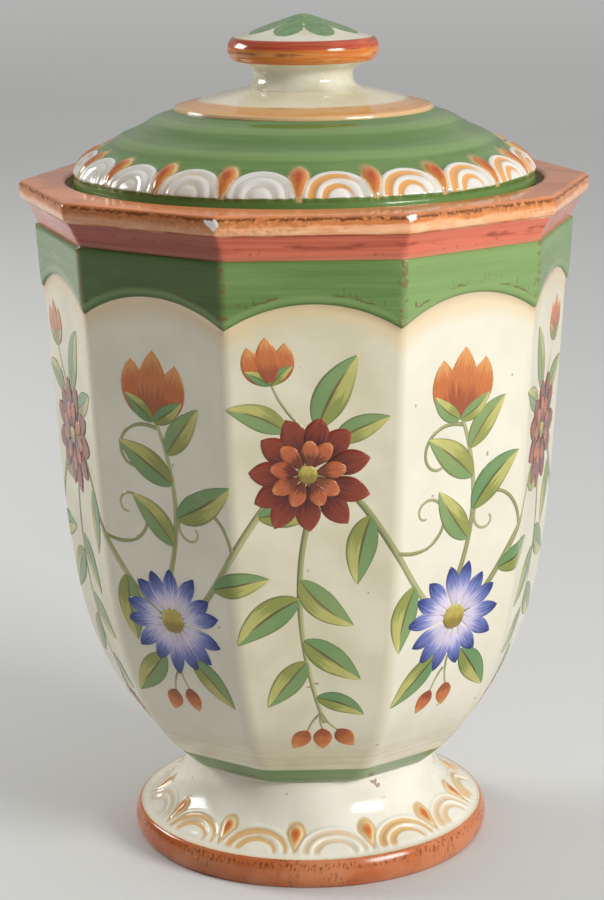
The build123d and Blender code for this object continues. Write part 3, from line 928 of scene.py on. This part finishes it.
def make_knob(material):
    """Waisted knob, hollow inside, with eight leaves laid out on its cap."""
    slope, bend, seam = knob_seam()
    bore = arc_points((0.0, BORE_TOP), VENT, 88, 0, 12)
    bore += [(VENT, seam[1] + VENT_ROUND), (VENT + VENT_ROUND, seam[1])]
    neck = arc_points((WAIST + bend, WAIST_HEIGHT), bend, 270 - slope, 180, 12)
    neck += arc_points((WAIST + WAIST_BEND, WAIST_HEIGHT), WAIST_BEND, 180, 105, 8)[1:]
    neck += line_points(neck[-1], (KNOB_EDGE, KNOB_EDGE_FOOT), 3)
    rolled = rolled_edge(KNOB_EDGE, KNOB_EDGE_FOOT, KNOB_EDGE_TOP, KNOB_BULGE, 16)
    cap = [*line_points((KNOB_EDGE, KNOB_EDGE_TOP), KNOB_TIP[0], 34), *KNOB_TIP]
    profile = bore + neck + rolled + cap

    columns = KNOB_LEAVES * LEAF_COLUMNS
    rows = len(profile)
    start = len(bore) + len(neck)
    radius = np.asarray(profile)[:, :1]
    turn = np.abs(np.arange(columns) / LEAF_COLUMNS % 1 - 0.5) * 2 * math.pi / KNOB_LEAVES
    widest, tip_length, half_width = 12.4, 5.9, 4.6
    tip = np.sqrt(np.clip(1 - ((radius - widest) / tip_length) ** 2, 0, 1))
    width = half_width * np.where(radius > widest, tip, (radius / widest) ** 0.9)
    leaf = np.minimum(radius * np.sin(turn) / np.maximum(width, 0.02), 4.0)
    on_cap = np.arange(rows)[:, None] >= start + len(rolled)
    leaf = np.where(on_cap & (radius < widest + tip_length + 0.1), leaf, 4.0)
    marks = {"rolled": np.repeat(path_lengths(profile, start), columns), "leaf": leaf.ravel()}
    points = turned_grid(profile, columns, 0.0)
    faces = ring_faces(rows, columns, False)
    faces.append(tuple(reversed(range(columns))))
    faces.append(tuple(range((rows - 1) * columns, rows * columns)))
    bed = range((len(bore) - 1) * columns, len(bore) * columns)
    new_piece("knob_shell", points, faces, marks, material, "lid", ["lid_knob"], bed)


# Painted flowers, laid on the panels as thin closed layers

STROKE_LAYERS = 40
LAYER_LIFT = 0.0015
LAYER_SINK = 0.0005
EDGE_LIFT = 0.02
PAINT_DEPTH = 0.12

# Colours of each brush from the base of a stroke to its tip, each with the share where it starts
STEM_PAINT = ((0.0, (0.27, 0.28, 0.12)), (0.5, (0.38, 0.38, 0.19)))
LEAF_PAINT = ((0.0, (0.22, 0.25, 0.06)), (0.45, (0.44, 0.42, 0.13)), (0.85, (0.58, 0.52, 0.19)))
LEAF_EDGE = (0.08, 0.12, 0.045)
LEAF_HALF = (0.115, 0.25, 0.105)
LEAF_RIB = (0.06, 0.035, 0.015)
RUST_PAINT = (
    (0.0, (0.03, 0.009, 0.009)),
    (0.44, (0.10, 0.016, 0.013)),
    (0.62, (0.21, 0.036, 0.02)),
    (0.98, (0.38, 0.10, 0.045)),
)
BLUE_PAINT = (
    (0.0, (0.66, 0.59, 0.70)),
    (0.42, (0.38, 0.37, 0.62)),
    (0.56, (0.13, 0.16, 0.40)),
    (0.8, (0.028, 0.04, 0.17)),
)
BUD_PAINT = ((0.0, (0.28, 0.055, 0.022)), (0.4, (0.50, 0.14, 0.04)), (0.8, (0.66, 0.30, 0.10)))
HEART_PAINT = ((0.0, (0.24, 0.17, 0.035)), (0.5, (0.44, 0.35, 0.08)), (0.9, (0.56, 0.47, 0.14)))
INNER_PAINT = ((0.0, (0.10, 0.016, 0.012)), (0.5, (0.42, 0.10, 0.04)), (0.9, (0.66, 0.26, 0.10)))


def on_panel(panel, across, height, lift):
    """A point on the jar's panels, at a distance along the surface from one panel's middle."""
    apothem = body_apothem(height)
    corner = body_corner(height)
    half = (apothem - corner) * math.tan(PANEL)
    side = np.where(across < 0, -1.0, 1.0)
    reach = np.abs(across)
    turn = np.clip((reach - half) / corner, 0.0, 2 * PANEL)
    past = np.maximum(reach - half - 2 * PANEL * corner, 0.0)
    x = side * (np.minimum(reach, half) + corner * np.sin(turn) + past * np.cos(turn))
    out = apothem - corner + corner * np.cos(turn) - past * np.sin(turn)
    slope = body_apothem(height + 0.5) - body_apothem(height - 0.5)
    size = np.sqrt(1 + slope**2)
    x = x + side * np.sin(turn) * lift / size
    out = out + np.cos(turn) * lift / size
    height = height - slope * lift / size
    angle = FRONT + 2 * PANEL * panel
    east = out * np.cos(angle) - x * np.sin(angle)
    north = out * np.sin(angle) + x * np.cos(angle)
    return np.stack([east, north, height], axis=-1)


def pitch_at(height):
    """Distance along the surface from one panel's middle to the next."""
    corner = body_corner(height)
    return 2 * (body_apothem(height) - corner) * math.tan(PANEL) + 2 * PANEL * corner


def curve_points(start, bend, end, steps):
    """A bent line from a start to an end through a pulling point."""
    shares = np.linspace(0, 1, steps)[:, None]
    start, bend, end = (np.asarray(p, dtype=float) for p in (start, bend, end))
    return start * (1 - shares) ** 2 + bend * 2 * shares * (1 - shares) + end * shares**2


def point_at(start, angle, length):
    """A place on a panel, at an angle from upright and a length from a start."""
    return start[0] + math.sin(angle) * length, start[1] + math.cos(angle) * length


class Brushwork:
    """Painted marks of one colour, gathered into a single mesh of thin closed layers."""

    WIDE = (-1.0, -0.94, -0.55, 0.0, 0.55, 0.94, 1.0)
    FINE = (-1.0, -0.94, -0.76, -0.52, -0.26, 0.0, 0.26, 0.52, 0.76, 0.94, 1.0)
    NARROW = (-1.0, 0.0, 1.0)

    def __init__(self, lift):
        self.lift = lift
        self.points = []
        self.faces = []
        self.marks = []
        self.chance = random.Random(11)

    def stroke(self, panel, spine, widths, lanes=NARROW):
        """One mark along a spine of (across, height) points, with a half width at each."""
        along = np.gradient(spine, axis=0)
        along /= np.maximum(np.linalg.norm(along, axis=1, keepdims=True), 1e-9)
        side = np.stack([-along[:, 1], along[:, 0]], axis=-1)
        lanes = np.array(lanes)
        flat = spine[:, None] + side[:, None] * (np.maximum(widths, 0.06)[:, None] * lanes)[..., None]
        rows = len(spine)
        within = np.minimum(np.arange(rows), np.arange(rows)[::-1]) > 0
        within = within[:, None] & (np.abs(lanes) < 0.99)
        layer = len(self.points) // 2 % STROKE_LAYERS
        rise = np.where(within, self.lift + LAYER_LIFT * layer, EDGE_LIFT + LAYER_SINK * layer)
        sink = np.full(rise.shape, -PAINT_DEPTH - LAYER_SINK * layer)
        for lift in (rise, sink):
            self.points.append(on_panel(panel, flat[..., 0], flat[..., 1], lift).reshape(-1, 3))
        self.close(rows, len(lanes))
        share = np.linspace(0, 1, rows)[:, None] + 0 * lanes
        mark = np.stack([share, lanes + 0 * share, np.full(share.shape, self.chance.random())], axis=-1)
        self.marks += [mark.reshape(-1, 3)] * 2

    def close(self, rows, columns):
        """Faces of the last mark: its top, its underside and the wall between their edges."""
        under = sum(len(p) for p in self.points[:-1])
        first = under - rows * columns
        for row in range(rows - 1):
            for lane in range(columns - 1):
                a = row * columns + lane
                b = a + columns
                self.faces.append((first + a, first + b, first + b + 1, first + a + 1))
                self.faces.append((under + a + 1, under + b + 1, under + b, under + a))
        edge = list(range(columns))
        edge += [row * columns + columns - 1 for row in range(1, rows)]
        edge += [(rows - 1) * columns + lane for lane in range(columns - 2, -1, -1)]
        edge += [row * columns for row in range(rows - 2, 0, -1)]
        for here, there in zip(edge, edge[1:] + edge[:1]):
            self.faces.append((first + here, first + there, under + there, under + here))

    def blade(self, panel, start, bend, end, half_width, widest, steps, lanes=WIDE):
        """A leaf or petal along a bent line, widest at a share of its length."""
        power = math.log(0.5) / math.log(widest)
        widths = half_width * np.sin(math.pi * np.linspace(0, 1, steps) ** power) ** 0.8
        self.stroke(panel, curve_points(start, bend, end, steps), widths, lanes)

    def disc(self, panel, centre, radius):
        """A round spot."""
        steps = 12
        low = (centre[0], centre[1] - radius)
        high = (centre[0], centre[1] + radius)
        widths = radius * np.sqrt(1 - np.linspace(-0.995, 0.995, steps) ** 2)
        self.stroke(panel, curve_points(low, centre, high, steps), widths, self.WIDE)

    def finish(self, name, material):
        marks = {"stroke": np.vstack(self.marks)}
        new_piece(name, np.vstack(self.points), self.faces, marks, material, "jar")


def stroke_material(name, layers, veined=False):
    """Brushed paint: colours from base to tip and hair streaks along the stroke, on leaves with a vein."""
    glaze = Glaze(name)
    along, across, chance = glaze.parts("stroke")
    where = {0: across * 3.6, 1: along * 1.1, 2: chance * 40.0}
    hair = glaze.noise(2.6, 4.0, where=Signal(glaze.tree, "ShaderNodeCombineXYZ", where))
    reach = along.wobble(hair, 0.7)
    colour = layers[0][1]
    for start, paint in layers[1:]:
        colour = reach.rise(start - 0.13, start + 0.13).mix(colour, paint)
    if veined:
        side = across.sum("ABSOLUTE")
        half = across.wobble(hair, 0.5).rise(-0.08, 0.12)
        rib = side.wobble(hair, 0.08).rise(0.11, 0.04) * along.rise(0.86, 0.6)
        rim = side.wobble(hair, 0.35).rise(0.8, 0.95)
        colour = colour.coat(half * 0.85, LEAF_HALF).coat(rib * 0.85, LEAF_RIB).coat(rim * 0.6, LEAF_EDGE)
    colour = colour.coat(chance.rise(0.0, 1.0, 0.16), layers[-1][1])
    return glaze.fired(colour, 0.06, hair)


class Vine:
    """A scrolling vine round the jar, with rosettes, asters, leaves, tulips and berries."""

    MIDDLE = 114.0
    SWING = 25.0
    STEM_STEPS = 60
    CURL_STEPS = 120
    RUNNER_STEPS = 200
    PATH_STEPS = 40

    def __init__(self):
        self.chance = random.Random(5)
        self.stems = Brushwork(0.05)
        self.leaves = Brushwork(0.09)
        self.buds = Brushwork(0.1)
        self.petals = Brushwork(0.16)
        self.blues = Brushwork(0.16)
        self.hearts = Brushwork(0.32)
        self.inner_petals = Brushwork(0.24)

    def stem(self, panel, start, bend, end, half_width=0.95):
        widths = np.linspace(half_width, half_width * 0.7, self.STEM_STEPS)
        self.stems.stroke(panel, curve_points(start, bend, end, self.STEM_STEPS), widths)

    def tendril(self, panel, start, angle, size, side):
        """A thin curl that leaves a stem and winds inwards."""
        turn = np.linspace(0, 1, self.CURL_STEPS)
        heading = angle + side * 7.5 * turn**1.3
        step = size * (1.1 - turn) * 0.025
        across = start[0] + np.cumsum(np.sin(heading) * step)
        height = start[1] + np.cumsum(np.cos(heading) * step)
        widths = np.linspace(0.65, 0.34, self.CURL_STEPS)
        self.stems.stroke(panel, np.stack([across, height], axis=-1), widths)

    def leaf(self, panel, start, angle, length):
        bow = self.chance.uniform(-0.16, 0.16) * length
        middle = point_at(start, angle, length / 2)
        bend = (middle[0] + math.cos(angle) * bow, middle[1] - math.sin(angle) * bow)
        end = point_at(start, angle, length)
        self.leaves.blade(panel, start, bend, end, length * 0.21, 0.42, 30, Brushwork.FINE)

    def leaves_along(self, panel, start, bend, end, spots):
        """Leaves on alternate sides of a bent stem, given as shares of its length and sizes."""
        path = curve_points(start, bend, end, self.PATH_STEPS + 1)
        for i, (share, size) in enumerate(spots):
            step = int(share * self.PATH_STEPS)
            ahead = path[step + 1] - path[step - 1]
            heading = math.atan2(ahead[0], ahead[1])
            side = 1 if i % 2 else -1
            self.leaf(panel, path[step], heading + side * self.chance.uniform(0.75, 1.0), size)

    def petal_ring(self, work, panel, centre, count, length, half_width):
        """A ring of slim petals round a centre."""
        turn = self.chance.random()
        for i in range(count):
            angle = turn + 2 * math.pi * i / count + self.chance.uniform(-0.06, 0.06)
            size = length * self.chance.uniform(0.93, 1.05)
            start = point_at(centre, angle, length * 0.15)
            bend = point_at(centre, angle + self.chance.uniform(-0.12, 0.12), size * 0.55)
            work.blade(panel, start, bend, point_at(centre, angle, size), half_width, 0.62, 16)

    def tulip(self, panel, base, angle, length):
        for turn in (-0.95, 0.95):
            self.leaf(panel, base, angle + turn, length * 0.6)
        for turn, share in ((-0.42, 0.92), (0.42, 0.92), (0.0, 1.0)):
            bend = point_at(base, angle + turn * 1.9, length * 0.5)
            end = point_at(base, angle + turn, length * share)
            self.buds.blade(panel, base, bend, end, length * 0.25, 0.5, 14)

    def berry(self, panel, start, angle, length):
        tip = point_at(start, angle, length)
        self.stem(panel, start, point_at(start, angle + 0.3, length / 2), tip, 0.45)
        self.buds.blade(panel, tip, point_at(tip, angle, 4), point_at(tip, angle, 8.6), 2.9, 0.45, 12)

    def runner(self, panel, swing):
        """The main stem from the middle of one panel to the middle of the next."""
        share = np.linspace(0, 1, self.RUNNER_STEPS)
        height = self.MIDDLE + swing * np.cos(math.pi * share)
        spine = np.stack([share * pitch_at(height), height], axis=-1)
        self.stems.stroke(panel, spine, np.full(self.RUNNER_STEPS, 1.05))
        for spot, side in ((0.34, 1), (0.5, -1), (0.66, 1)):
            z = self.MIDDLE + swing * math.cos(math.pi * spot)
            lean = math.atan2(pitch_at(z), -swing * math.pi * math.sin(math.pi * spot))
            start = (spot * pitch_at(z), z)
            if spot == 0.5:
                self.tendril(panel, start, lean + side * 0.7, 24.0, side)
            else:
                heading = lean + side * self.chance.uniform(0.65, 0.9)
                self.leaf(panel, start, heading, self.chance.uniform(19, 23))

    def high_panel(self, panel, mirror):
        """A red rosette near the top, leaves and berries on a long shoot below it, a tulip above."""
        shift = self.chance.uniform(-2.0, 2.0)
        flower = (shift, self.MIDDLE + self.SWING)
        shoot = ((shift, 124.0), (9.0 * mirror, 96.0), (-3.0 * mirror, 57.0))
        self.stem(panel, *shoot)
        self.leaves_along(panel, *shoot, ((0.3, 22), (0.42, 24), (0.6, 22), (0.72, 20), (0.88, 16)))
        for angle, size in ((2.5, 8), (3.1, 6), (-2.6, 8)):
            self.berry(panel, (-2.0 * mirror, 61.0), angle, size)
        self.stem(panel, (shift, 152.0), (shift + 9 * mirror, 160.0), (shift + 11 * mirror, 169.0), 0.5)
        self.leaf(panel, (shift - 3 * mirror, 153.0), -0.5 * mirror, 25)
        self.leaf(panel, (shift - 8 * mirror, 149.0), -1.15 * mirror, 18)
        self.leaf(panel, (shift + 6 * mirror, 152.0), 1.2 * mirror, 19)
        self.tulip(panel, (shift + 10.5 * mirror, 166.0), 0.12 * mirror, 14.5)
        self.petal_ring(self.petals, panel, flower, 11, 18.5, 3.9)
        self.petal_ring(self.inner_petals, panel, flower, 9, 11.5, 2.7)
        self.hearts.disc(panel, flower, 3.0)

    def low_panel(self, panel, mirror):
        """A blue aster near the foot with leaves and berries, and a tall shoot to a tulip above it."""
        shift = self.chance.uniform(-2.0, 2.0)
        flower = (shift, self.MIDDLE - self.SWING)
        shoot = ((shift, 102.0), (-10.0 * mirror, 128.0), (2.0 * mirror, 154.0))
        self.stem(panel, *shoot)
        self.leaves_along(panel, *shoot, ((0.24, 21), (0.42, 24), (0.6, 23), (0.78, 20)))
        self.tendril(panel, (0.3 * mirror, 150.0), 1.3 * mirror, 20.0, mirror)
        self.tulip(panel, (2.0 * mirror, 152.0), -0.05 * mirror, 22.0)
        self.leaf(panel, (shift - 5, 77.0), -2.4, 21)
        self.leaf(panel, (shift + 5, 77.0), 2.45, 20)
        self.berry(panel, (shift, 76.0), 3.0, 10)
        self.berry(panel, (shift - 1, 72.0), -2.75, 8)
        self.petal_ring(self.blues, panel, flower, 14, 17.5, 2.7)
        self.hearts.disc(panel, flower, 4.2)

    def paint(self):
        for panel in range(SIDES):
            mirror = 1 if panel // 2 % 2 else -1
            high = panel % 2 == 0
            self.runner(panel, self.SWING if high else -self.SWING)
            if high:
                self.high_panel(panel, mirror)
            else:
                self.low_panel(panel, mirror)
        coats = (
            (self.stems, "painted_stems", "stem_brushwork", STEM_PAINT),
            (self.leaves, "painted_leaves", "leaf_brushwork", LEAF_PAINT),
            (self.petals, "painted_rust_petals", "rust_petal_brushwork", RUST_PAINT),
            (self.blues, "painted_blue_petals", "blue_petal_brushwork", BLUE_PAINT),
            (self.buds, "painted_buds", "orange_bud_brushwork", BUD_PAINT),
            (self.hearts, "painted_flower_hearts", "flower_heart_brushwork", HEART_PAINT),
            (self.inner_petals, "painted_inner_petals", "inner_petal_brushwork", INNER_PAINT),
        )
        for work, name, brush, layers in coats:
            work.finish(name, stroke_material(brush, layers, work is self.leaves))


make_jar(jar_material())
make_foot(foot_material())
make_lid(lid_material())
make_knob(knob_material())
Vine().paint()
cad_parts["lid_gasket"].material_slots[0].material = rubber_material()


# Floor, light and camera, in metres

FLOOR_REACH = 40.0
CAMERA_PLACE = (-0.01946, -0.76795, 0.3163)
CAMERA_YAW = 0.02317
CAMERA_PITCH = 0.2409
CAMERA_ROLL = -0.0104
FOCAL_LENGTH = 97.69


def floor_material():
    """Pale studio paper, painted a little lighter far from the lamps as painted light."""
    glaze = Glaze("studio_paper")
    reach = Signal(glaze.tree, "ShaderNodeVectorMath", {0: glaze.place}, "Value", operation="LENGTH")
    near = glaze.noise(1.2).blotch((0.60, 0.60, 0.585), (0.63, 0.63, 0.615))
    # Painted light: lighter with distance from the jar, where the lamps light the paper less
    colour = near.coat(reach.rise(0.4, 5.0), (0.93, 0.935, 0.915))
    return glaze.finish(colour, 0.75, glaze.noise(900.0, 2.0), FINE_BUMP)


def add_floor():
    mesh = bpy.data.meshes.new("studio_floor")
    corners = [(x * FLOOR_REACH, y * FLOOR_REACH, 0) for x, y in ((-1, -1), (1, -1), (1, 1), (-1, 1))]
    mesh.from_pydata(corners, [], [(0, 1, 2, 3)])
    mesh.materials.append(floor_material())
    floor = bpy.data.objects.new("studio_floor", mesh)
    bpy.context.collection.objects.link(floor)


def add_softbox(name, place, aim, width, height, power):
    lamp = bpy.data.lights.new(name, "AREA")
    lamp.shape = "RECTANGLE"
    lamp.size = width
    lamp.size_y = height
    lamp.energy = power
    box = bpy.data.objects.new(name, lamp)
    box.location = place
    box.rotation_euler = (Vector(aim) - Vector(place)).to_track_quat("-Z", "Y").to_euler()
    bpy.context.collection.objects.link(box)


def add_camera():
    level = math.cos(CAMERA_PITCH)
    forward = (math.sin(CAMERA_YAW) * level, math.cos(CAMERA_YAW) * level, -math.sin(CAMERA_PITCH))
    forward = Vector(forward)
    level_right = Vector((math.cos(CAMERA_YAW), -math.sin(CAMERA_YAW), 0.0))
    level_up = level_right.cross(forward)
    right = level_right * math.cos(CAMERA_ROLL) + level_up * math.sin(CAMERA_ROLL)
    up = level_up * math.cos(CAMERA_ROLL) - level_right * math.sin(CAMERA_ROLL)
    lens = bpy.data.cameras.new("camera")
    lens.lens = FOCAL_LENGTH
    lens.sensor_width = 36.0
    lens.clip_end = 200.0
    camera = bpy.data.objects.new("camera", lens)
    matrix = Matrix((right, up, -forward)).transposed().to_4x4()
    matrix.translation = CAMERA_PLACE
    camera.matrix_world = matrix
    bpy.context.collection.objects.link(camera)
    bpy.context.scene.camera = camera


def add_world():
    """Grey room, brightest at its ceiling and dim at its front left."""
    world = bpy.data.worlds.new("studio_world")
    world.use_nodes = True
    tree = world.node_tree
    towards = Signal(tree, "ShaderNodeTexCoord", {}, "Generated")
    up = Signal(tree, "ShaderNodeSeparateXYZ", {0: towards}, "Z")
    away = {0: towards, 1: (0.78, 0.62, 0.0)}
    away = Signal(tree, "ShaderNodeVectorMath", away, "Value", operation="DOT_PRODUCT")
    ceiling = {"Value": up, "From Min": 0.0, "From Max": 0.85, "To Min": 0.24, "To Max": 0.82}
    wall = {"Value": away, "From Min": -0.8, "From Max": 0.3, "To Min": 0.12, "To Max": 1.0}
    background = tree.nodes["Background"]
    for socket, limits in (("Color", ceiling), ("Strength", wall)):
        shade = Signal(tree, "ShaderNodeMapRange", limits, "Result")
        tree.links.new(shade.socket, background.inputs[socket])
    bpy.context.scene.world = world


add_floor()
add_world()
add_softbox("softbox_right", (1.12, -0.92, 0.74), (0.0, 0.0, 0.13), 0.65, 0.38, 21.0)
add_softbox("softbox_left", (-1.2, 0.6, 0.68), (0.0, 0.0, 0.15), 0.6, 0.44, 13.0)
add_camera()
bpy.context.scene.view_settings.view_transform = "Standard"
